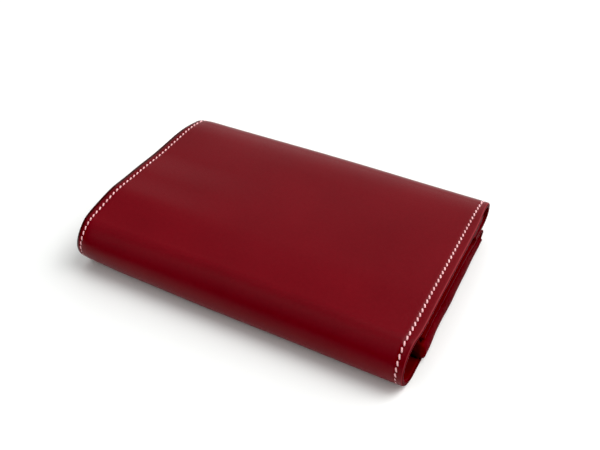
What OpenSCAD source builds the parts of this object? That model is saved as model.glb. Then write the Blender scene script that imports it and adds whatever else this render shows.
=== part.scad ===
// Folding card holder, closed and lying on its lower leaf.
// X runs along the spine, +Y points away from the spine, +Z is up, and the table is z = 0.

/* [Case] */
// Length of the case along the spine
case_w = 110; // [100:1:130]
// Depth of the closed case, from the spine to the far edge
case_d = 72; // [66:1:90]
// Height of the closed case
case_h = 16; // [16:0.5:20]

/* [Leather] */
// Thickness of the outer leather
leather_t = 1.2; // [1:0.1:1.2]
// Thickness of the linings
lining_t = 0.6; // [0.4:0.1:0.6]
// Thickness of the stiffener board in each leaf
board_t = 0.6; // [0.4:0.1:0.6]

/* [Stitching] */
// Distance from one stitch to the next
stitch_pitch = 1.8; // [1.6:0.1:3]
// Length of one stitch
stitch_len = 1.3; // [0.8:0.1:1.4]
// Distance from a cut edge to the row of stitches
stitch_inset = 2.1; // [1.8:0.1:4]

/* [Pocket] */
// Clear height inside the gusseted pocket
pocket_gap = 4.2; // [4.2:0.1:4.5]
// Distance from the spine's outermost line to the pocket's mouth
mouth_back = 15; // [14:0.5:20]
// How far each gusset's fold stands out past the cut edge at the far end
gusset_proud = 0.9; // [0.5:0.1:1.5]
// Angle at which each gusset flares out towards the mouth
gusset_flare = 1.5; // [0:0.25:2]

/* [Card slots] */
// Thickness of each slot panel
slot_t = 1; // [0.7:0.1:1]
// Distance from one slot's mouth to the next
slot_step = 8; // [6:1:9]
// Distance from the spine's outermost line to the first slot's mouth
slot_back = 16; // [14:1:20]

/* [Hidden] */
$fn = 96;

half_w = case_w / 2;
near_y = -case_d / 2;
far_y = case_d / 2;

// The spine is a half round about one axis; each leaf keeps the first eighth turn of it
spine_r = case_h / 2;
spine_y = near_y + spine_r;
crease = 45;
crease_gap = 0.6;

// Lower leaf: leather, board, lining, pocket space, pocket lining and pocket wall
lining_z = leather_t + board_t;
floor_z = lining_z + lining_t;
ceiling_z = floor_z + pocket_gap;
wall_z = ceiling_z + lining_t;
wall_top = wall_z + leather_t;
pocket_r = wall_top / 2;
pocket_far = far_y - 0.5;
pocket_fold_y = pocket_far - pocket_r;
mouth_y = near_y + mouth_back;

// Upper leaf: leather folded round the far edge, then the board, the lining and the slots
slot_count = 3;
leaf_t = floor_z + slot_count * slot_t + leather_t;
leaf_r = leaf_t / 2;
leaf_z = case_h - leaf_t;
leaf_fold_y = far_y - leaf_r;
hem_len = 9;
slot_far = leaf_fold_y;
slot_near = near_y + slot_back;
slot_top = case_h - floor_z;

// The boards stop short of the spine's bend, and the linings ramp over their edges
board_near = spine_y + 2;
lining_inset = 0.5;
slip_inset = 5;
slip_near = mouth_y + 12;

// Stitches lie in grooves on the outside
groove_w = 0.7;
groove_t = 0.4;
stitch_w = 0.5;
stitch_t = 0.35;
row_x = half_w - stitch_inset;
row_margin = 0.5;
arc_margin = 5;

// Gussets: a folded strip with its crest outwards
gusset_t = 0.7;
gusset_r = pocket_gap / 2;
gusset_leg = 5;
gusset_far = pocket_fold_y - 0.5;
gusset_len = gusset_far - mouth_y;

leather_red = [0.42, 0.06, 0.09];
lining_red = [0.36, 0.07, 0.09];
board_grey = [0.62, 0.58, 0.52];
thread_white = [0.92, 0.86, 0.84];

// ---- Profiles, drawn with y to the right and z upwards ----

// Runs a profile along the spine, to both sides of the middle
module along_x(half_len)
    rotate([90, 0, 90])
        linear_extrude(2 * half_len, center = true)
            children();

// Part of a ring about a point, from one angle to another, less than half a turn
module arc_profile(cy, cz, r_out, t, from, to) {
    reach = 2 * r_out;
    mid = (from + to) / 2;
    translate([cy, cz])
        intersection() {
            difference() {
                circle(r = r_out);
                circle(r = r_out - t);
            }
            polygon([[0, 0],
                     [reach * cos(from), reach * sin(from)],
                     [reach * cos(mid), reach * sin(mid)],
                     [reach * cos(to), reach * sin(to)]]);
        }
}

module slab_profile(y0, y1, z0, t)
    translate([y0, z0])
        square([y1 - y0, t]);

// Moves a lower leaf's profile to the upper leaf
module to_upper_leaf()
    translate([0, case_h])
        mirror([0, 1])
            children();

// Outer leather of one leaf, from its crease to y1
module leaf_leather_profile(y1) {
    slab_profile(spine_y, y1, 0, leather_t);
    arc_profile(spine_y, spine_r, spine_r, leather_t, 270 - crease + crease_gap, 270);
}

// Lining of one leaf, from its crease over the board's edge to y1
module leaf_lining_profile(y1) {
    arc_profile(spine_y, spine_r, spine_r - leather_t, lining_t, 270 - crease + crease_gap, 270);
    polygon([[spine_y, leather_t],
             [board_near, lining_z],
             [board_near, floor_z],
             [spine_y, leather_t + lining_t]]);
    slab_profile(board_near, y1, lining_z, lining_t);
}

// ---- Stitches ----

// Grooves for the rows at both sides: straight from y0 to y1 in the face at z
module row_grooves(y0, y1, z)
    for (side = [-1, 1])
        translate([side * row_x - groove_w / 2, y0, z])
            cube([groove_w, y1 - y0, groove_t]);

// Grooves for the rows at both sides, round part of a bend
module bend_grooves(cy, cz, r, from, to)
    for (side = [-1, 1])
        translate([side * row_x, 0, 0])
            along_x(groove_w / 2)
                arc_profile(cy, cz, r + groove_t, 2 * groove_t, from, to);

// A straight row of stitches in one groove; each starts at z and is stitch_t high
module stitch_row(x, y0, y1, z) {
    count = floor((y1 - y0) / stitch_pitch);
    start = (y0 + y1 - count * stitch_pitch + stitch_pitch) / 2;
    for (i = [0 : count - 1])
        translate([x, start + i * stitch_pitch, z + stitch_t / 2])
            cube([stitch_w, stitch_len, stitch_t], center = true);
}

// Curved stitches round the outside of a bend, lying on the floor of its groove
module stitch_bend(x, cy, cz, r, from, to) {
    count = max(1, floor((to - from) * PI * r / 180 / stitch_pitch));
    step = (to - from) / count;
    sweep = stitch_len / r * 180 / PI;
    for (i = [0 : count - 1])
        translate([x, 0, 0])
            along_x(stitch_w / 2)
                arc_profile(cy, cz, r - groove_t + stitch_t, stitch_t,
                            from + (i + 0.5) * step - sweep / 2,
                            from + (i + 0.5) * step + sweep / 2);
}

// ---- Lower leaf ----

module base_cover()
    color(leather_red)
        difference() {
            along_x(half_w) {
                leaf_leather_profile(pocket_fold_y);
                arc_profile(pocket_fold_y, pocket_r, pocket_r, leather_t, -90, -crease_gap);
            }
            row_grooves(spine_y, pocket_fold_y, 0);
            bend_grooves(spine_y, spine_r, spine_r, 270 - crease, 270);
        }

module base_board()
    color(board_grey)
        along_x(half_w - lining_inset)
            slab_profile(board_near, pocket_fold_y, leather_t, board_t);

module base_lining()
    color(lining_red)
        along_x(half_w - lining_inset)
            leaf_lining_profile(pocket_fold_y);

module base_stitches(side)
    color(thread_white) {
        stitch_row(side * row_x, spine_y, pocket_fold_y, groove_t - stitch_t);
        stitch_bend(side * row_x, spine_y, spine_r, spine_r, 270 - crease, 270);
    }

// ---- Spine ----

module spine_cover()
    color(leather_red)
        difference() {
            along_x(half_w)
                arc_profile(spine_y, spine_r, spine_r, leather_t,
                            180 - crease + crease_gap, 180 + crease - crease_gap);
            bend_grooves(spine_y, spine_r, spine_r, 180 - crease, 180 + crease);
        }

module spine_lining()
    color(lining_red)
        along_x(half_w - lining_inset)
            arc_profile(spine_y, spine_r, spine_r - leather_t, lining_t,
                        180 - crease + crease_gap, 180 + crease - crease_gap);

module spine_stitches(side)
    color(thread_white)
        stitch_bend(side * row_x, spine_y, spine_r, spine_r,
                    180 - crease + arc_margin, 180 + crease - arc_margin);

// ---- Upper leaf ----

module top_cover()
    color(leather_red)
        difference() {
            along_x(half_w) {
                to_upper_leaf()
                    leaf_leather_profile(leaf_fold_y);
                arc_profile(leaf_fold_y, leaf_z + leaf_r, leaf_r, leather_t, -90, 0);
                arc_profile(leaf_fold_y, leaf_z + leaf_r, leaf_r, leather_t, 0, 90);
                slab_profile(leaf_fold_y - hem_len, leaf_fold_y, leaf_z, leather_t);
            }
            row_grooves(spine_y, leaf_fold_y, case_h - groove_t);
            bend_grooves(spine_y, spine_r, spine_r, 90, 90 + crease);
            bend_grooves(leaf_fold_y, leaf_z + leaf_r, leaf_r, 0, 90);
        }

module top_board()
    color(board_grey)
        along_x(half_w - lining_inset)
            slab_profile(board_near, leaf_fold_y, case_h - lining_z, board_t);

module top_lining()
    color(lining_red)
        along_x(half_w - lining_inset)
            to_upper_leaf()
                leaf_lining_profile(leaf_fold_y);

module top_stitches(side)
    color(thread_white) {
        stitch_row(side * row_x, spine_y, leaf_fold_y, case_h - groove_t);
        stitch_bend(side * row_x, spine_y, spine_r, spine_r, 90, 90 + crease);
        stitch_bend(side * row_x, leaf_fold_y, leaf_z + leaf_r, leaf_r, 0, 90);
    }

// Slot panels hang one under the other, each mouth further from the spine than the last
module card_slot(n)
    color(lining_red)
        along_x(half_w - lining_inset)
            slab_profile(slot_near + (n - 1) * slot_step, slot_far, slot_top - n * slot_t, slot_t);

module slot_stitches(side)
    color(thread_white)
        for (n = [1 : slot_count])
            stitch_row(side * row_x,
                       slot_near + (n - 1) * slot_step + row_margin,
                       (n < slot_count ? slot_near + n * slot_step : slot_far - hem_len) - row_margin,
                       slot_top - n * slot_t - stitch_t);

// ---- Gusseted pocket ----

module pocket_wall()
    color(leather_red)
        along_x(half_w - lining_inset) {
            slab_profile(mouth_y, pocket_fold_y, wall_z, leather_t);
            arc_profile(pocket_fold_y, pocket_r, pocket_r, leather_t, crease_gap, 90);
        }

module pocket_lining()
    color(lining_red)
        along_x(half_w - lining_inset)
            slab_profile(mouth_y, pocket_fold_y, ceiling_z, lining_t);

module slip_pocket()
    color(leather_red)
        along_x(half_w - slip_inset)
            slab_profile(slip_near, pocket_fold_y, wall_top, lining_t);

module pocket_stitches(side)
    color(thread_white)
        stitch_row(side * row_x, mouth_y + row_margin, pocket_fold_y, wall_top);

module gusset_profile() {
    crest_x = half_w + gusset_proud - gusset_r;
    crest_z = floor_z + gusset_r;
    arc_profile(crest_x, crest_z, gusset_r, gusset_t, -90, 0);
    arc_profile(crest_x, crest_z, gusset_r, gusset_t, 0, 90);
    for (z = [floor_z, ceiling_z - gusset_t])
        slab_profile(crest_x - gusset_leg, crest_x, z, gusset_t);
}

module gusset_right()
    color(leather_red)
        translate([half_w, gusset_far, 0])
            rotate([0, 0, gusset_flare])
                translate([-half_w, 0, 0])
                    rotate([90, 0, 0])
                        linear_extrude(gusset_len)
                            gusset_profile();

module gusset_left()
    mirror([1, 0, 0])
        gusset_right();

base_cover();
base_board();
base_lining();
base_stitches(-1);  // base_stitches_left
base_stitches(1);  // base_stitches_right
spine_cover();
spine_lining();
spine_stitches(-1);  // spine_stitches_left
spine_stitches(1);  // spine_stitches_right
top_cover();
top_board();
top_lining();
top_stitches(-1);  // top_stitches_left
top_stitches(1);  // top_stitches_right
card_slot(1);  // card_slot_1
card_slot(2);  // card_slot_2
card_slot(3);  // card_slot_3
slot_stitches(-1);  // slot_stitches_left
slot_stitches(1);  // slot_stitches_right
pocket_wall();
pocket_lining();
slip_pocket();
pocket_stitches(-1);  // pocket_stitches_left
pocket_stitches(1);  // pocket_stitches_right
gusset_left();
gusset_right();
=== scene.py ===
"""Looks of the folding card holder: leather skins, linings, stitches, gussets and a plain studio."""
import math

import bmesh
import bpy
import numpy as np
from mathutils import Matrix, Vector

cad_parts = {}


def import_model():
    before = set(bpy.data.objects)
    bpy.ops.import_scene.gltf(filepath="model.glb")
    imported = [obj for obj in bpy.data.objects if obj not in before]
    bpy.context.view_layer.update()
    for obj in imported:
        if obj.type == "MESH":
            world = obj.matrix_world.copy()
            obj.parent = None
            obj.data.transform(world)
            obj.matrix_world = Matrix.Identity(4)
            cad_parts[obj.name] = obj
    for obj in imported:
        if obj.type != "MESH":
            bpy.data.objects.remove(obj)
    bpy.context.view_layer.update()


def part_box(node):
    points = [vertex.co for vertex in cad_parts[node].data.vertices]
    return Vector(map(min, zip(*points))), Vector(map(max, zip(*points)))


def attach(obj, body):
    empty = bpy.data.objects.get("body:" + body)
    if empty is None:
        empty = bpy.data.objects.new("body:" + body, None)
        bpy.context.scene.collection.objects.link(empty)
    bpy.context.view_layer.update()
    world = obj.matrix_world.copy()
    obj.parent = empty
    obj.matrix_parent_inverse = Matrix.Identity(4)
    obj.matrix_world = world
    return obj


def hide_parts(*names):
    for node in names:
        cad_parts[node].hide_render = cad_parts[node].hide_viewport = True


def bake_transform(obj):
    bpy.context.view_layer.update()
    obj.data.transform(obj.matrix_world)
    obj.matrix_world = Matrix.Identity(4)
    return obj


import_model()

MM = 0.001

# ---------------------------------------------------------------- dimensions, read from the frame

top_lo, top_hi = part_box("top_cover")
spine_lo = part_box("spine_cover")[0]
board_lo, board_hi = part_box("base_board")
lining_lo, lining_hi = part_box("pocket_lining")
wall_lo, wall_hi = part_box("pocket_wall")
gusset_lo, gusset_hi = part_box("gusset_right")
row_lo, row_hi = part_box("top_stitches_right")

HALF_W = top_hi.x
CASE_H = top_hi.z
FAR_Y = top_hi.y
SPINE_R = CASE_H / 2
SPINE_Y = spine_lo.y + SPINE_R
LEATHER_T = board_lo.z
BOARD_T = board_hi.z - board_lo.z
LINING_T = lining_hi.z - lining_lo.z
LINING_Z = board_hi.z
POCKET_R = wall_hi.z / 2
POCKET_FOLD_Y = wall_hi.y - POCKET_R
MOUTH_Y = wall_lo.y
LEAF_R = (CASE_H - top_lo.z) / 2
LEAF_FOLD_Y = FAR_Y - LEAF_R
PARTING_Z = (2 * POCKET_R + CASE_H - 2 * LEAF_R) / 2  # between the pocket's top and the upper leaf's fold
ROW_X = (row_lo.x + row_hi.x) / 2

# ---------------------------------------------------------------- dimensions that only the looks have

HEM = 9 * MM            # turned-in leather behind the far fold
GAP = 0.03 * MM         # clearance between sheets that lie on each other
PITCH = 1.8 * MM        # from stitch to stitch
EDGE_ROUND = 0.4 * MM   # rounding of the outer leather's edges
HEM_ROUND = 0.35 * MM   # rounding of the hem's end
THIN_ROUND = 0.2 * MM   # rounding of linings, slots, slip pocket and gussets
BOARD_ROUND = 0.15 * MM
BOARD_GAP = 0.2 * MM    # what the boards leave free at their near and far edges
BOARD_INSET = 3.5 * MM  # and at their left and right edges, inside the seams
POCKET_RUN = 4 * MM     # how far before its fold the pocket's own skin starts, under the case

# ---------------------------------------------------------------- outlines in a plane


def straight(a0, b0, a1, b1, side=1):
    """A straight run from (a0, b0) to (a1, b1); its outward normal is on the left for side 1."""
    length = math.hypot(a1 - a0, b1 - b0)
    normal = (-side * (b1 - b0) / length, side * (a1 - a0) / length)

    def at(t):
        return np.stack([a0 + (a1 - a0) * t, b0 + (b1 - b0) * t,
                         np.full_like(t, normal[0]), np.full_like(t, normal[1])], -1)
    return length, at


def bend(ca, cb, r, start, end):
    """An arc about (ca, cb) between two angles in degrees; its outward normal is radial."""
    def at(t):
        angle = np.radians(start + (end - start) * t)
        return np.stack([ca + r * np.cos(angle), cb + r * np.sin(angle), np.cos(angle), np.sin(angle)], -1)
    return r * math.radians(abs(end - start)), at


def outline(runs, step, s0=0.0, sense=1):
    """Rows [s, a, b, normal a, normal b] along joined runs; s starts at s0 and grows by sense."""
    rows, done = [], 0.0
    for i, (length, at) in enumerate(runs):
        count = max(2, math.ceil(length / step))
        t = np.linspace(0, 1, count + 1)
        if i:
            t = t[1:]
        rows.append(np.column_stack([s0 + sense * (done + t * length), at(t)]))
        done += length
    return np.concatenate(rows)


def thin_row(rows, end):
    """Adds a row very close to one end, so that shading there follows the surface and not the cap."""
    share = 0.04
    if end == 0:
        extra = rows[0] * (1 - share) + rows[1] * share
        return np.insert(rows, 1, extra, axis=0)
    extra = rows[-1] * (1 - share) + rows[-2] * share
    return np.insert(rows, -1, extra, axis=0)


def round_first(rows, radius):
    """Replaces the first row by a few that follow a rounding; the last value of a row is its inset."""
    edge = rows[0]
    along = edge[:3] - rows[1, :3]
    along = along / max(np.hypot(along[1], along[2]), 1e-9)
    made = []
    for angle in np.radians([88, 68, 45, 20, 0]):
        row = edge.copy()
        row[:3] -= along * radius * (1 - math.sin(angle))
        row[5] = radius * (1 - math.cos(angle))
        made.append(row)
    beyond = [row for row in rows[1:] if abs(row[0] - edge[0]) > 1.3 * radius]
    return np.array(made + beyond)


def with_ends(rows, radius, first="round", last="round"):
    """Gives each row its inset: ends marked round are rounded over with that radius, others stay square."""
    rows = np.column_stack([rows, np.zeros(len(rows))])
    if first == "round":
        rows = round_first(rows, radius)
    if last == "round":
        rows = round_first(rows[::-1], radius)[::-1]
    return rows


def at_s(rows, s):
    """Position and normal on an outline at a distance s."""
    order = np.argsort(rows[:, 0])
    got = np.array([np.interp(s, rows[order, 0], rows[order, k]) for k in range(1, 5)])
    got[2:] /= math.hypot(got[2], got[3])
    return got

# ---------------------------------------------------------------- soft shape of the whole case


def smooth(t):
    t = np.clip(t, 0, 1)
    return t * t * (3 - 2 * t)


def onset(value, start, reach):
    """0 up to start, 1 from start + reach on, with a soft change between."""
    return smooth((value - start) / reach)


LEFT_SAG = 0.70 * MM     # the left half, behind the middle
LEFT_HUMP = 0.75 * MM    # the left half, before the middle
FAR_SAG = 2.0 * MM       # the upper leaf at its far fold
FAR_TUCK = 0.8 * MM      # the same, backwards
FAR_PLUMP = 3.0 * MM     # the upper leaf's fold, down onto the pocket
FOLD_BULGE = 0.66        # how much longer the far fold is than round, as a share of its radius
ROLL = 0.35 * MM         # the top, down into the spine
ROLL_LEFT = 0.45 * MM    # the same, added at the left
NOSE_LOW = 4.8 * MM      # the spine's roundest part, down; a quarter of this at half height
NEAR_LIFT = 1.1 * MM     # the near left corner, up from the floor
FAR_DROOP = 0.4 * MM     # the far left corner, down
CORNER_TUCK = 0.7 * MM   # the near left corner, backwards
BRIM = 0.75 * MM         # the rims beyond the seams, outwards
NOSE_WIDEN = 0.6 * MM    # the right end of the spine near the floor, outwards
PULL = 0.25 * MM         # both ends of the spine, inwards
PULL_LEFT = 0.55 * MM    # the same, added at the left


def settle(points):
    """How the supple case has settled, the same for every piece.

    The left half sags behind the middle and is humped before it, the roll into the spine is long on
    top and low at the nose, and the left corners round over: the far one droops, the near one lifts.
    The upper leaf is plump at its far fold and presses the pocket there flat."""
    x, y, z = np.asarray(points, float).T
    high = np.clip(z / CASE_H, 0, 1)
    left = onset(-x, 4 * MM, 42 * MM)
    corner = onset(-x, 49 * MM, 6 * MM)
    end = onset(np.abs(x), 46 * MM, 9 * MM)
    nose = onset(-y, 24 * MM, 10 * MM)
    far = np.clip((y - 24 * MM) / (12 * MM), 0, 1.1) ** 3

    sag = LEFT_SAG * left * onset(y, -3 * MM, 14 * MM) + FAR_SAG * (1 - 0.05 * left) * far
    hump = LEFT_HUMP * left * np.exp(-((y + 15 * MM) / (8 * MM)) ** 2)
    roll = (ROLL + ROLL_LEFT * left) * onset(-y, 12 * MM, 16 * MM)
    droop = FAR_DROOP * corner * onset(y, 24 * MM, 10 * MM)
    press = smooth(np.where(z < PARTING_Z, z / PARTING_Z, (CASE_H - z) / (CASE_H - PARTING_Z)))
    plump = FAR_PLUMP * onset(y, 12 * MM, 20 * MM) * press
    low = NOSE_LOW * nose * (1 - 0.8 * left) * high * (1 - high)
    lift = NEAR_LIFT * onset(-x, 36 * MM, 19 * MM) * nose * (1 - high)
    rise = high * (hump - sag - roll - droop) - plump - low + lift

    pull = (PULL + PULL_LEFT * left) * nose * end * (0.4 + 0.6 * high)
    widen = NOSE_WIDEN * onset(x, 40 * MM, 12 * MM) * (1 - high) ** 2 * onset(-y, 12 * MM, 8 * MM)
    between = onset(-y, -34 * MM, 14 * MM) * onset(y, -38 * MM, 16 * MM)
    brim = BRIM * onset(np.abs(x), ROW_X, HALF_W - ROW_X) * onset(z, 5 * MM, 10 * MM) * between
    out = widen + brim - pull

    over = np.clip((y - LEAF_FOLD_Y) / LEAF_R, 0, 1) * onset(z, PARTING_Z, 2 * MM)
    bulge = FOLD_BULGE * LEAF_R * over
    back = CORNER_TUCK * nose * corner * high - 0.5 * droop + FAR_TUCK * far * high + bulge
    return np.stack([x + np.sign(x) * out, y + back, z + rise], -1)


RIPPLE = 0.035 * MM


def ripple(x, s):
    """Slow unevenness of hand-worked leather, in metres."""
    wave = (np.sin(x * 61 + 1.3) * np.sin(s * 83 + 0.4) + 0.6 * np.sin(x * 137 + s * 59 + 2.1)
            + 0.4 * np.sin(s * 211 - x * 97))
    return RIPPLE * wave

# ---------------------------------------------------------------- mesh building


def stations(lo, hi, coarse, rim=0.0, fine=0.0):
    """Places across a sheet between lo and hi: fine within rim of each end, coarse between."""
    if rim <= 0:
        return np.linspace(lo, hi, max(2, math.ceil((hi - lo) / coarse)) + 1)
    edge = math.ceil(rim / fine)
    middle = math.ceil((hi - lo - 2 * rim) / coarse)
    return np.concatenate([np.linspace(lo, lo + rim, edge + 1)[:-1],
                           np.linspace(lo + rim, hi - rim, middle + 1)[:-1],
                           np.linspace(hi - rim, hi, edge + 1)])


def new_object(name, points, faces, materials, face_slots=None, flat=None):
    mesh = bpy.data.meshes.new(name)
    mesh.from_pydata([tuple(p) for p in settle(points)], [], faces)
    for material in materials:
        mesh.materials.append(material)
    if face_slots is not None:
        mesh.polygons.foreach_set("material_index", face_slots)
    if flat is not None:
        attribute = mesh.attributes.new("flat", "FLOAT_VECTOR", "POINT")
        attribute.data.foreach_set("vector", np.asarray(flat, np.float32).ravel())
    obj = bpy.data.objects.new(name, mesh)
    bpy.context.scene.collection.objects.link(obj)
    work = bmesh.new()
    work.from_mesh(mesh)
    bmesh.ops.recalc_face_normals(work, faces=work.faces)
    work.to_mesh(mesh)
    work.free()
    mesh.polygons.foreach_set("use_smooth", [True] * len(mesh.polygons))
    return obj


def sheet(name, rows, across, thick, radius, materials, place, relief=None, drift=None, sharp=()):
    """A closed sheet: rows run along its outline, across holds its places along the fold.

    rows has [s, a, b, na, nb, inset]; thick is measured inwards from the outline. relief(c, s) raises
    the outer face only and drift(c, s) moves both faces. place turns (c, a, b) into X, Y, Z. The last
    of materials is its edges' one. sharp names the ends whose rim shades sharp."""
    corner = np.radians(np.linspace(90, 0, 5))[1:]
    lo, hi = across[0], across[-1]
    inner = across.copy()
    inner[0], inner[-1] = lo + radius, hi - radius
    inner = inner[(inner >= lo + radius) & (inner <= hi - radius)]
    count = len(inner)
    right = [(hi - radius + radius * math.cos(a), -radius + radius * math.sin(a)) for a in corner]
    right += [(hi - radius + radius * math.cos(a), -thick + radius - radius * math.sin(a))
              for a in corner[::-1][1:]]
    left = [(lo + hi - c, d) for c, d in right[::-1]]
    loop = [(c, 0.0) for c in inner] + right + [(c, -thick) for c in inner[::-1]] + left
    loop_c = np.array([c for c, _ in loop])
    loop_d = np.array([d for _, d in loop])
    size, n_rows = len(loop), len(rows)
    s, a, b, na, nb, inset = rows.T
    c = np.clip(loop_c[None, :], lo + inset[:, None], hi - inset[:, None])
    d = np.clip(loop_d[None, :], -(thick - inset[:, None]), -inset[:, None])
    share = np.clip(1 + loop_d[None, :] / thick, 0, 1)
    along = np.broadcast_to(s[:, None], c.shape)
    if relief is not None:
        d = d + share * relief(c, along)
    if drift is not None:
        d = d + drift(c, along)
    pa = a[:, None] + na[:, None] * d
    pb = b[:, None] + nb[:, None] * d
    points = place(c, pa, pb).reshape(-1, 3)
    flat = np.stack([c, along, loop_d[None, :] + np.zeros_like(c)], -1).reshape(-1, 3)
    faces, face_slots = [], []
    edge_slot = len(materials) - 1
    right_side = range(count - 1, count + len(right))
    left_side = range(size - len(left) - 1, size)
    for r in range(n_rows - 1):
        for k in range(size):
            j = (k + 1) % size
            faces.append((r * size + k, r * size + j, (r + 1) * size + j, (r + 1) * size + k))
            face_slots.append(edge_slot if k in right_side or k in left_side else 0)
    under = count + len(right)
    for first in (0, (n_rows - 1) * size):
        for k in range(count - 1):
            faces.append(tuple(first + i for i in (k, k + 1, under + count - 2 - k, under + count - 1 - k)))
        faces.append(tuple(first + k for k in range(count - 1, under + 1)))
        faces.append(tuple(first + k for k in [*range(under + count - 1, size), 0]))
        face_slots += [edge_slot] * (count + 1)
    obj = new_object(name, points, faces, materials, face_slots, flat)
    for end in sharp:
        ring = {(0 if end == "first" else n_rows - 1) * size + k for k in range(size)}
        for e in obj.data.edges:
            if e.vertices[0] in ring and e.vertices[1] in ring:
                e.use_edge_sharp = True
    return obj


def on_leaf(c, a, b):
    """Outline in the YZ plane, swept along the spine."""
    return np.stack([c + 0 * a, a, b], -1)


THREAD_R = 0.25 * MM
THREAD_LENGTH = 1.62 * MM
THREAD_PROUD = 0.16 * MM
THREAD_DIP = 0.42 * MM
THREAD_LEAN = 18


def thread_row(name, rows, x, spans, material, proud=THREAD_PROUD):
    """Sewn stitches along an outline, each a short leaning twist of thread that dips at both ends.

    spans lists the stretches of the outline that are sewn, each as its two ends."""
    rings, sides = 9, 10
    points, faces, flats, middles = [], [], [], []
    rng = np.random.default_rng(7)
    for first, last in spans:
        count = round(abs(last - first) / PITCH)
        middles += [first + (i + 0.5) * (last - first) / count for i in range(count)]
    for mid in middles:
        turn = math.radians(-THREAD_LEAN + rng.normal(0, 2.0))
        shade = rng.uniform(0, 1)
        start = len(points)
        for k in range(rings):
            t = k / (rings - 1) - 0.5
            y, z, ny, nz = at_s(rows, mid + t * THREAD_LENGTH * math.cos(turn))
            lift = proud - THREAD_R - THREAD_DIP * (2 * abs(t)) ** 3.2
            thin = THREAD_R * (1 - 0.35 * (2 * abs(t)) ** 4)
            centre = np.array([x + t * THREAD_LENGTH * math.sin(turn), y + ny * lift, z + nz * lift])
            for j in range(sides):
                around = 2 * math.pi * j / sides
                ply = 1 + 0.10 * math.cos(2 * (around - 3.2 * math.pi * t))
                across, up = thin * 1.05 * ply * math.cos(around), thin * 0.9 * ply * math.sin(around)
                points.append(centre + np.array([across, ny * up, nz * up]))
                flats.append((shade, t, around))
        for k in range(rings - 1):
            for j in range(sides):
                n = (j + 1) % sides
                faces.append((start + k * sides + j, start + k * sides + n,
                              start + (k + 1) * sides + n, start + (k + 1) * sides + j))
        faces.append(tuple(start + j for j in range(sides)))
        faces.append(tuple(start + (rings - 1) * sides + j for j in range(sides)))
    return new_object(name, np.array(points), faces, [material], None, flats)

# ---------------------------------------------------------------- materials


def new_material(name, roughness):
    material = bpy.data.materials.new(name)
    material.use_nodes = True
    tree = material.node_tree
    shader = tree.nodes["Principled BSDF"]
    shader.inputs["Roughness"].default_value = roughness
    return material, tree, shader


def add(tree, kind, links=None, **settings):
    """Adds a node; settings set its sockets or its own fields, links joins sockets to its inputs."""
    node = tree.nodes.new(kind)
    for key, value in settings.items():
        if key in node.inputs:
            node.inputs[key].default_value = value
        else:
            setattr(node, key, value)
    for key, socket in (links or {}).items():
        tree.links.new(socket, node.inputs[key])
    return node


def flat_coordinates(tree):
    """The sheet's own coordinates in millimetres, which stay with the leather as it bends."""
    metres = add(tree, "ShaderNodeAttribute", attribute_name="flat").outputs["Vector"]
    scaled = add(tree, "ShaderNodeVectorMath", {0: metres}, operation="SCALE", Scale=1 / MM)
    return scaled.outputs[0]


def noise(tree, vector, scale, detail=3.0, rough=0.55):
    node = add(tree, "ShaderNodeTexNoise", {"Vector": vector}, Scale=scale, Detail=detail, Roughness=rough)
    return node.outputs["Fac"]


def ramp(tree, factor, stops):
    node = add(tree, "ShaderNodeValToRGB", {"Fac": factor})
    points = node.color_ramp.elements
    while len(points) < len(stops):
        points.new(0.5)
    for point, (place, colour) in zip(points, stops):
        point.position = place
        point.color = (*colour, 1)
    return node.outputs["Color"]


def spread(tree, factor, low, high, to_low, to_high):
    node = add(tree, "ShaderNodeMapRange", {"Value": factor})
    for key, value in zip(("From Min", "From Max", "To Min", "To Max"), (low, high, to_low, to_high)):
        node.inputs[key].default_value = value
    return node.outputs["Result"]


def tint(colour, factor):
    return tuple(min(1.0, c * factor) for c in colour)


# Places in the sheet's own millimetres between which the painted shade over the left rim and the
# painted highlight along the edges' corner set in
RIM_SHADE_ENDS = (-53.0, -53.9)
HIGHLIGHT_ENDS = (-50.0, 20.0)
HIGHLIGHT_DEPTHS = (-0.16, -0.08)


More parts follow.
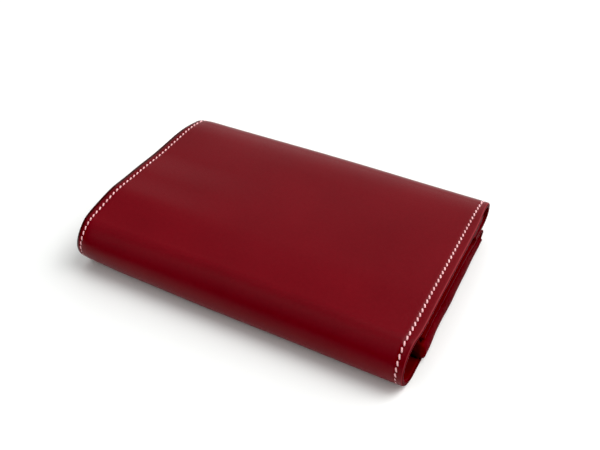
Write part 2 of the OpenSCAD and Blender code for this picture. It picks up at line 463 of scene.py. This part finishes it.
def leather(name, colour, rough, grain, pore=2.6, shine=0.14, mottle=0.13, rim_shade=None):
    """Calf leather: slow mottling, fine pores and creases, and an uneven gloss.

    grain is the strength of the pores, pore how many there are per millimetre, and the last colour,
    when given, is painted shade over the left rim, the side turned away from the light."""
    material, tree, shader = new_material(name, rough)
    where = flat_coordinates(tree)
    slow = noise(tree, where, 0.035, 2.0)
    fine = noise(tree, where, 0.9, 5.0, 0.6)
    both = add(tree, "ShaderNodeMath", {0: slow, 1: fine}, operation="ADD")
    mixed = ramp(tree, spread(tree, both.outputs[0], 0.65, 1.35, 0, 1),
                 [(0.0, tint(colour, 1 - mottle)), (0.5, colour), (1.0, tint(colour, 1 + mottle))])
    # Painted shade: the outer left rim, turned away from the light, is darkened in its colour
    if rim_shade:
        parts = add(tree, "ShaderNodeSeparateXYZ", {0: where})
        painted = add(tree, "ShaderNodeMath", {0: parts.outputs["X"], 1: fine}, operation="ADD")
        rim_shade_mask = spread(tree, painted.outputs[0], *RIM_SHADE_ENDS, 0, 1)
        mixer = add(tree, "ShaderNodeMix", {0: rim_shade_mask, 6: mixed}, data_type="RGBA")
        mixer.inputs[7].default_value = (*rim_shade, 1)
        mixed = mixer.outputs[2]
    tree.links.new(mixed, shader.inputs["Base Color"])
    tree.links.new(spread(tree, noise(tree, where, 1.7, 4.0), 0.3, 0.7, rough - 0.05, rough + 0.05),
                   shader.inputs["Roughness"])
    cells = add(tree, "ShaderNodeTexVoronoi", {"Vector": where}, feature="DISTANCE_TO_EDGE", Scale=pore)
    creases = spread(tree, cells.outputs["Distance"], 0.0, 0.16, 0.0, 1.0)
    height = add(tree, "ShaderNodeMath", {0: creases, 1: noise(tree, where, 6.0, 3.0)}, operation="ADD")
    bump = add(tree, "ShaderNodeBump", {"Height": height.outputs[0]}, Strength=grain, Distance=0.02 * MM)
    tree.links.new(bump.outputs["Normal"], shader.inputs["Normal"])
    shader.inputs["Specular IOR Level"].default_value = shine
    return material


def cut_edge(name, corner, core):
    """Painted cut edge with faint fibres: dark, with a painted highlight along its outer corner
    that grows towards the right, the side turned to the light.
    """
    material, tree, shader = new_material(name, 0.55)
    where = flat_coordinates(tree)
    parts = add(tree, "ShaderNodeSeparateXYZ", {0: where})
    stretched = add(tree, "ShaderNodeVectorMath", {0: where}, operation="MULTIPLY")
    stretched.inputs[1].default_value = (3.0, 0.8, 6.0)
    fibre = noise(tree, stretched.outputs[0], 1.0, 4.0)
    depth = add(tree, "ShaderNodeMath", {0: parts.outputs["Z"]}, operation="ADD")
    tree.links.new(spread(tree, fibre, 0.3, 0.7, -0.04, 0.04), depth.inputs[1])
    # Painted highlight: the rounded outer corner is lighter, more so towards the right, where the edge
    # faces the light
    highlight_band = spread(tree, depth.outputs[0], *HIGHLIGHT_DEPTHS, 0, 1)
    lit_side = spread(tree, parts.outputs["X"], *HIGHLIGHT_ENDS, 0, 1)
    painted_highlight = add(tree, "ShaderNodeMath", {0: highlight_band, 1: lit_side}, operation="MULTIPLY")
    tree.links.new(ramp(tree, painted_highlight.outputs[0], [(0.0, core), (1.0, corner)]), shader.inputs["Base Color"])
    bump = add(tree, "ShaderNodeBump", {"Height": fibre}, Strength=0.3, Distance=0.03 * MM)
    tree.links.new(bump.outputs["Normal"], shader.inputs["Normal"])
    shader.inputs["Specular IOR Level"].default_value = 0.02
    return material


def sewing_thread(name, colour):
    """Waxed linen: each stitch has its own shade, and a twist shows along it."""
    material, tree, shader = new_material(name, 0.55)
    source = add(tree, "ShaderNodeAttribute", attribute_name="flat")
    parts = add(tree, "ShaderNodeSeparateXYZ", {0: source.outputs["Vector"]})
    tree.links.new(ramp(tree, parts.outputs["X"], [(0.0, tint(colour, 0.86)), (1.0, tint(colour, 1.08))]),
                   shader.inputs["Base Color"])
    along = add(tree, "ShaderNodeMath", {0: parts.outputs["Y"]}, operation="MULTIPLY")
    along.inputs[1].default_value = 60.0
    phase = add(tree, "ShaderNodeMath", {0: along.outputs[0], 1: parts.outputs["Z"]}, operation="ADD")
    wave = add(tree, "ShaderNodeMath", {0: phase.outputs[0]}, operation="SINE")
    bump = add(tree, "ShaderNodeBump", {"Height": wave.outputs[0]}, Strength=0.4, Distance=0.03 * MM)
    tree.links.new(bump.outputs["Normal"], shader.inputs["Normal"])
    shader.inputs["Sheen Weight"].default_value = 0.3
    return material


def card_board(name, colour):
    """Grey board with short fibres."""
    material, tree, shader = new_material(name, 0.9)
    fibre = noise(tree, flat_coordinates(tree), 2.2, 6.0, 0.7)
    tree.links.new(ramp(tree, fibre, [(0.3, tint(colour, 0.8)), (0.7, tint(colour, 1.15))]),
                   shader.inputs["Base Color"])
    bump = add(tree, "ShaderNodeBump", {"Height": fibre}, Strength=0.4, Distance=0.05 * MM)
    tree.links.new(bump.outputs["Normal"], shader.inputs["Normal"])
    return material


RED = (0.1331, 0.0033, 0.0071)
CORE = (0.070, 0.004, 0.006)
# The next is a painted highlight along the cut edges' outer corner, the one after it painted shade over the
# left rim
EDGE_HIGHLIGHT = (0.22, 0.030, 0.036)
LEFT_RIM_SHADE = (0.035, 0.006, 0.006)
PINK = (1.0, 0.52, 0.54)
GREY = (0.35, 0.31, 0.25)
OUTER = leather("outer_calf", RED, rough=0.34, grain=0.35, rim_shade=LEFT_RIM_SHADE)
EDGE = cut_edge("painted_edge", EDGE_HIGHLIGHT, CORE)
# The inner edges carry a faint painted highlight along the same corner
INNER_EDGE = cut_edge("inner_edge", tint(CORE, 1.3), CORE)
# Lining and gusset are the outer red made darker: partly a deeper tone of their own, partly painted shade
# of the case's recessed sides
LINING = leather("lining_calf", tint(RED, 0.75), rough=0.65, grain=0.6, pore=1.8, shine=0.05, mottle=0.22)
GUSSET = leather("gusset_calf", tint(RED, 0.65), rough=0.75, grain=0.7, pore=2.2, shine=0.05, mottle=0.40)
THREAD = sewing_thread("linen_thread", PINK)
BOARD = card_board("grey_board", GREY)

# ---------------------------------------------------------------- relief of the outer leather


GROOVE_DEPTH = 0.10 * MM
GROOVE_W = 0.5 * MM
HOLE_DEPTH = 0.22 * MM
HOLE_W = 0.32 * MM
HOLE_LEN = 0.36 * MM
RIM_START = ROW_X + 0.2 * MM
RIM_PRESS_LEFT = 0.50 * MM
RIM_PRESS_RIGHT = 0.12 * MM
RELIEF_END = 1.2 * MM


def stitch_relief(first, last):
    """Groove under a stitch row at both sides, with a dimple at each hole, and a rim pressed thin."""
    count = round(abs(last - first) / PITCH)
    pitch = abs(last - first) / count
    lo, hi = min(first, last), max(first, last)

    def relief(c, s):
        off = np.abs(c) - ROW_X
        within = smooth((s - lo) / RELIEF_END + 0.5) * smooth((hi - s) / RELIEF_END + 0.5)
        groove = GROOVE_DEPTH * np.exp(-(off / GROOVE_W) ** 2)
        to_hole = ((s - lo + pitch / 2) % pitch) - pitch / 2
        dimple = HOLE_DEPTH * np.exp(-(off / HOLE_W) ** 2 - (to_hole / HOLE_LEN) ** 2)
        over = np.clip((np.abs(c) - RIM_START) / (HALF_W - RIM_START), 0, 1)
        rim = np.where(c < 0, RIM_PRESS_LEFT, RIM_PRESS_RIGHT) * over ** 2
        return -within * (groove + dimple) - rim

    return relief

# ---------------------------------------------------------------- outer leather

ROW_STEP = 0.36 * MM
CROWN = 0.25 * MM
ARC_LEN = SPINE_R * math.pi / 2
TOP_LEN = LEAF_FOLD_Y - SPINE_Y
FOLD_LEN = LEAF_R * math.pi
BASE_LEN = POCKET_FOLD_Y - POCKET_RUN - SPINE_Y
across_leaf = stations(-HALF_W, HALF_W, coarse=2.6 * MM, rim=5.0 * MM, fine=0.34 * MM)

upper_rows = outline([
    bend(SPINE_Y, SPINE_R, SPINE_R, 180, 90),
    straight(SPINE_Y, CASE_H, LEAF_FOLD_Y, CASE_H),
    bend(LEAF_FOLD_Y, CASE_H - LEAF_R, LEAF_R, 90, -90),
    straight(LEAF_FOLD_Y, CASE_H - 2 * LEAF_R, LEAF_FOLD_Y - HEM, CASE_H - 2 * LEAF_R),
], ROW_STEP)
lower_rows = outline([
    bend(SPINE_Y, SPINE_R, SPINE_R, 180, 270),
    straight(SPINE_Y, 0, SPINE_Y + BASE_LEN, 0, -1),
], ROW_STEP, 0.0, -1)
pocket_rows = outline([
    straight(SPINE_Y + BASE_LEN, 0, POCKET_FOLD_Y, 0, -1),
    bend(POCKET_FOLD_Y, POCKET_R, POCKET_R, -90, 90),
    straight(POCKET_FOLD_Y, 2 * POCKET_R, MOUTH_Y, 2 * POCKET_R, -1),
], 0.6 * MM, -(ARC_LEN + BASE_LEN), -1)

UPPER_END = ARC_LEN + TOP_LEN + 0.5 * FOLD_LEN
LOWER_END = -(ARC_LEN + BASE_LEN)
upper_relief = stitch_relief(0, UPPER_END)
lower_relief = stitch_relief(0, LOWER_END)


def upper_drift(c, s):
    """A slight crown between the seams of the upper leaf."""
    along = smooth((s - ARC_LEN * 0.5) / (14 * MM)) * smooth((ARC_LEN + TOP_LEN - s) / (12 * MM))
    return ripple(c, s) + CROWN * along * (1 - (c / HALF_W) ** 2)


upper_ends = thin_row(with_ends(upper_rows, HEM_ROUND, "square"), 0)
lower_ends = thin_row(thin_row(with_ends(lower_rows, 0, "square", "square"), 0), -1)
pocket_ends = thin_row(with_ends(pocket_rows, EDGE_ROUND, "square"), 0)
across_wall = stations(-HALF_W, HALF_W, coarse=3 * MM, rim=5.0 * MM, fine=0.5 * MM)
outer_upper = sheet("outer_upper", upper_ends, across_leaf, LEATHER_T, EDGE_ROUND, [OUTER, EDGE], on_leaf,
                    upper_relief, upper_drift, ["first"])
outer_lower = sheet("outer_lower", lower_ends, across_leaf, LEATHER_T, EDGE_ROUND, [OUTER, EDGE], on_leaf,
                    lower_relief, ripple, ["first", "last"])
outer_pocket = sheet("outer_pocket", pocket_ends, across_wall, LEATHER_T, EDGE_ROUND, [OUTER, INNER_EDGE],
                     on_leaf, None, ripple, ["first"])

# ---------------------------------------------------------------- linings and boards

lining_r = SPINE_R - LEATHER_T - GAP
across_lining = stations(-lining_hi.x, lining_hi.x, coarse=4 * MM, rim=5 * MM, fine=0.5 * MM)
board_end_y = board_lo.y
over_board = LINING_Z + GAP


def lining_rows(y1, upper):
    """Lining from the middle of the spine to y1: round the bend, over the board's edge and flat."""
    flip = -1 if upper else 1

    def z(height):
        return CASE_H - height if upper else height

    runs = [
        bend(SPINE_Y, SPINE_R, lining_r, 180, 180 + flip * 90),
        straight(SPINE_Y, z(LEATHER_T + GAP), board_end_y, z(over_board), -flip),
        straight(board_end_y, z(over_board), y1, z(over_board), -flip),
    ]
    return outline(runs, 0.8 * MM, 0.0, -flip)


def pinch(c):
    """How far a lining closes down past the board's edge, so that the seam hides the board."""
    return BOARD_T * onset(np.abs(c), ROW_X - 1.6 * MM, 1.5 * MM)


def lining_drift(c, s):
    return pinch(c) * onset(np.abs(s), lining_r * math.pi / 2, 2 * MM)


def slot_drift(c, s):
    return -pinch(c)


def lining(name, y1, upper):
    rows = thin_row(with_ends(lining_rows(y1, upper), THIN_ROUND, "square"), 0)
    return sheet(name, rows, across_lining, LINING_T - 2 * GAP, THIN_ROUND, [LINING], on_leaf, None,
                 lining_drift, ["first"])


lining_upper = lining("lining_upper", LEAF_FOLD_Y, True)
lining_lower = lining("lining_lower", POCKET_FOLD_Y, False)


def flat_panel(name, node, materials, radius=THIN_ROUND, shrink=0.0, narrow=0.0, drift=None, face=1):
    """A flat panel in the space of a CAD node, with rounded edges; face 1 has its outer side up."""
    lo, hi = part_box(node)
    z = hi.z - GAP if face > 0 else lo.z + GAP
    rows = outline([straight(lo.y + shrink, z, hi.y - shrink, z, face)], 1.0 * MM)
    across = stations(lo.x + narrow, hi.x - narrow, coarse=3 * MM, rim=5 * MM, fine=0.5 * MM)
    return sheet(name, with_ends(rows, radius), across, hi.z - lo.z - 2 * GAP, radius, materials, on_leaf,
                 None, drift)


board_lower = flat_panel("board_lower", "base_board", [BOARD], BOARD_ROUND, BOARD_GAP, BOARD_INSET)
board_upper = flat_panel("board_upper", "top_board", [BOARD], BOARD_ROUND, BOARD_GAP, BOARD_INSET)
pocket_inside = flat_panel("pocket_inside", "pocket_lining", [LINING], face=-1)
slip_panel = flat_panel("slip_panel", "slip_pocket", [OUTER, INNER_EDGE])
slots = [flat_panel(f"slot_panel_{n}", f"card_slot_{n}", [LINING, INNER_EDGE], drift=slot_drift, face=-1)
         for n in (1, 2, 3)]

# ---------------------------------------------------------------- gussets

GUSSET_T = 0.7 * MM
GUSSET_ROUND = 0.25 * MM
GUSSET_LEG = 5 * MM           # how far each side of the strip reaches inwards from its fold
GUSSET_OUT = 0.9 * MM         # how far its fold stands out past the leaf
GUSSET_SAG = 2.3 * MM         # how far its floor side hangs over the lower leaf's edge
FLARE = math.radians(0.4)
MOUTH_REACH = 2.2 * MM        # how far the mouth reaches past the CAD solid
MOUTH_DOME = 1.7 * MM
MOUTH_TUCK = 1.5 * MM


def gusset(name, side):
    """A strip folded outwards between the pocket's floor and its front wall, wider at the mouth."""
    low, high = gusset_lo.z + GAP, gusset_hi.z - GAP
    r = (high - low) / 2
    crest = HALF_W + GUSSET_OUT - r
    rows = outline([
        straight(crest - GUSSET_LEG, low, crest, low, -1),
        bend(crest, low + r, r, -90, 90),
        straight(crest, high, crest - GUSSET_LEG, high, 1),
    ], 0.35 * MM)
    far, mouth = gusset_hi.y, gusset_lo.y - MOUTH_REACH

    def place(c, a, b):
        """Flares the strip, rounds its mouth over and hangs its lower side over the leaf's edge."""
        into = np.clip((c - mouth) / MOUTH_DOME, 0.02, 1)
        a = a + (far - c) * math.tan(FLARE) - MOUTH_TUCK * (1 - into) ** 2
        b = low + (b - low) * np.sqrt(1 - (1 - into) ** 2)
        lower = np.clip((high - b) / (high - low), 0, 1)
        hang = pinch(a) + (GUSSET_SAG - BOARD_T) * onset(a, HALF_W - 0.2 * MM, MM)
        b = b - lower * onset(-c, -far, 5 * MM) * hang
        return np.stack([side * a, c + 0 * a, b], -1)

    def soft(c, s):
        """Small unevenness of unsupported leather."""
        return 0.10 * MM * np.sin(c * 170 + side) * np.sin(s * 300) + 0.05 * MM * np.sin(c * 410 + s * 200)

    across = stations(mouth, far, coarse=1.2 * MM, rim=MOUTH_DOME, fine=0.3 * MM)
    return sheet(name, with_ends(rows, THIN_ROUND), across, GUSSET_T, GUSSET_ROUND, [GUSSET, INNER_EDGE],
                 place, None, soft)


gusset_right = gusset("gusset_strip_right", 1)
gusset_left = gusset("gusset_strip_left", -1)

# ---------------------------------------------------------------- stitches


slot_boxes = [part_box(f"card_slot_{n}") for n in (1, 2, 3)]
slot_ends = [lo.y for lo, hi in slot_boxes[1:]] + [LEAF_FOLD_Y - HEM]
slot_rows, slot_spans = [], []
for (lo, hi), stop in zip(slot_boxes, slot_ends):
    face = lo.z + GAP + BOARD_T
    slot_rows += [[lo.y, lo.y, face, 0, -1], [stop - GAP, stop - GAP, face, 0, -1]]
    slot_spans.append((lo.y + PITCH / 2, stop - PITCH / 2))
slot_rows = np.array(slot_rows)
pocket_span = (pocket_rows[-1, 0] + 1.2 * MM, pocket_rows[0, 0] - POCKET_RUN - POCKET_R * math.pi)
rows_of_thread = []
for side_name, side in (("left", -1), ("right", 1)):
    x = side * ROW_X
    upper = thread_row(f"thread_upper_{side_name}", upper_rows, x, [(0, UPPER_END)], THREAD)
    lower = thread_row(f"thread_lower_{side_name}", lower_rows, x, [(0, LOWER_END)], THREAD, 0.0)
    wall = thread_row(f"thread_pocket_{side_name}", pocket_rows, x, [pocket_span], THREAD)
    slotted = thread_row(f"thread_slots_{side_name}", slot_rows, x, slot_spans, THREAD)
    rows_of_thread.append((side_name, upper, lower, wall, slotted))

# ---------------------------------------------------------------- pieces baked in place, some attached to the bodies they ride on, the CAD parts they stand for hidden


def lower_bend(piece):
    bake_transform(piece)


def upper_bend(piece):
    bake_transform(piece)


def pocket_bend(piece):
    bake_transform(piece)


def stands_for(piece, slot, *nodes):
    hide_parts(*nodes)


lower_bend(outer_lower)
stands_for(outer_lower, "outer_leather", "base_cover")
upper_bend(outer_upper)
stands_for(outer_upper, "outer_leather", "top_cover", "spine_cover")
lower_bend(lining_lower)
stands_for(lining_lower, "lining_leather", "base_lining")
upper_bend(lining_upper)
stands_for(lining_upper, "lining_leather", "top_lining", "spine_lining")
pocket_bend(outer_pocket)
stands_for(outer_pocket, "outer_leather", "pocket_wall")
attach(pocket_inside, "pocket_front")
stands_for(pocket_inside, "lining_leather", "pocket_lining")
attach(slip_panel, "pocket_front")
stands_for(slip_panel, "outer_leather", "slip_pocket")
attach(board_lower, "base_leaf")
stands_for(board_lower, "board", "base_board")
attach(board_upper, "top_leaf")
stands_for(board_upper, "board", "top_board")
for n, panel in enumerate(slots, 1):
    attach(panel, "top_leaf")
    stands_for(panel, "lining_leather", f"card_slot_{n}")
for piece, node in ((gusset_left, "gusset_left"), (gusset_right, "gusset_right")):
    pocket_bend(piece)
    stands_for(piece, "gusset_leather", node)
for side_name, upper, lower, wall, slotted in rows_of_thread:
    upper_bend(upper)
    stands_for(upper, "thread", f"top_stitches_{side_name}", f"spine_stitches_{side_name}")
    lower_bend(lower)
    stands_for(lower, "thread", f"base_stitches_{side_name}")
    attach(wall, "pocket_front")
    stands_for(wall, "thread", f"pocket_stitches_{side_name}")
    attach(slotted, "top_leaf")
    stands_for(slotted, "thread", f"slot_stitches_{side_name}")

# ---------------------------------------------------------------- studio

FLOOR_WHITE = (0.915, 0.93, 0.92, 1)
FLOOR_SIZE = 30.0        # in metres, so wide that its edge lies far off in low views
FLOOR_Z = -0.05 * MM     # just below the case, so that the two don't share a plane


def floor():
    bpy.ops.mesh.primitive_plane_add(size=FLOOR_SIZE, location=(0, 0, FLOOR_Z))
    plane = bpy.context.active_object
    plane.name = "floor"
    material, tree, shader = new_material("pale_floor", 0.6)
    shader.inputs["Base Color"].default_value = FLOOR_WHITE
    plane.data.materials.append(material)


def area_light(name, place, target, size, power):
    data = bpy.data.lights.new(name, "AREA")
    data.shape = "SQUARE"
    data.size = size
    data.energy = power
    light = bpy.data.objects.new(name, data)
    light.location = place
    light.rotation_euler = (Vector(target) - Vector(place)).to_track_quat("-Z", "Y").to_euler()
    bpy.context.scene.collection.objects.link(light)


def camera(azimuth, elevation, roll, distance, lens, target):
    """Azimuth 0 looks along +Y; roll turns the camera about its own axis; lens is in millimetres."""
    az, el, ro = (math.radians(v) for v in (azimuth, elevation, roll))
    back = Vector((math.sin(az) * math.cos(el), -math.cos(az) * math.cos(el), math.sin(el)))
    right = Vector((math.cos(az), math.sin(az), 0))
    up = back.cross(right)
    turned_right = right * math.cos(ro) + up * math.sin(ro)
    turned_up = up * math.cos(ro) - right * math.sin(ro)
    data = bpy.data.cameras.new("camera")
    data.sensor_width = 36.0
    data.lens = lens
    data.clip_start = 0.01
    data.clip_end = 20
    viewer = bpy.data.objects.new("camera", data)
    basis = Matrix((turned_right, turned_up, back)).transposed().to_4x4()
    viewer.matrix_world = Matrix.Translation(Vector(target) + back * distance) @ basis
    bpy.context.scene.collection.objects.link(viewer)
    bpy.context.scene.camera = viewer


def world(panels):
    """Soft panels of light in a dark surround, each given by direction, reach in degrees and strength.

    The camera itself sees the surround plain and pale, so that no dark shows past the floor."""
    made = bpy.data.worlds.new("studio")
    made.use_nodes = True
    tree = made.node_tree
    where = add(tree, "ShaderNodeTexCoord").outputs["Generated"]
    total = None
    for direction, reach, strength in panels:
        facing = add(tree, "ShaderNodeVectorMath", {0: where}, operation="DOT_PRODUCT")
        facing.inputs[1].default_value = Vector(direction).normalized()
        glow = spread(tree, facing.outputs["Value"], math.cos(math.radians(reach)), 1.0, 0.0, strength)
        if total is not None:
            glow = add(tree, "ShaderNodeMath", {0: total, 1: glow}, operation="ADD").outputs[0]
        total = glow
    seen = add(tree, "ShaderNodeLightPath").outputs["Is Camera Ray"]
    total = add(tree, "ShaderNodeMath", {0: total, 1: seen}, operation="MAXIMUM").outputs[0]
    background = tree.nodes["Background"]
    background.inputs["Color"].default_value = (1.0, 0.99, 0.985, 1)
    tree.links.new(total, background.inputs["Strength"])
    bpy.context.scene.world = made


def deepen_blacks(level):
    """A plain view of the colours, with the darkest ones pulled down to black."""
    colours = bpy.context.scene.view_settings
    colours.view_transform = "Standard"
    colours.use_curve_mapping = True
    colours.curve_mapping.black_level = (level, level, level)
    colours.curve_mapping.update()


floor()
world([
    ((-0.35, 0.67, 0.66), 40, 0.63),
    ((-0.30, 0.93, 0.15), 35, 0.79),
    ((0.60, 0.66, 0.40), 40, 3.92),
    ((-0.35, -0.10, 0.93), 40, 1.07),
    ((-0.30, -0.75, 0.60), 40, 1.23),
    ((0.85, -0.45, 0.25), 50, 0.27),
])
area_light("key", place=(0.36, 0.20, 0.85), target=(0, 0, 0), size=0.6, power=5.00)
camera(azimuth=28.2, elevation=41.2, roll=-0.8, distance=0.2596, lens=46.26, target=(-0.00139, 0.01355, 0))
deepen_blacks(0.0117)
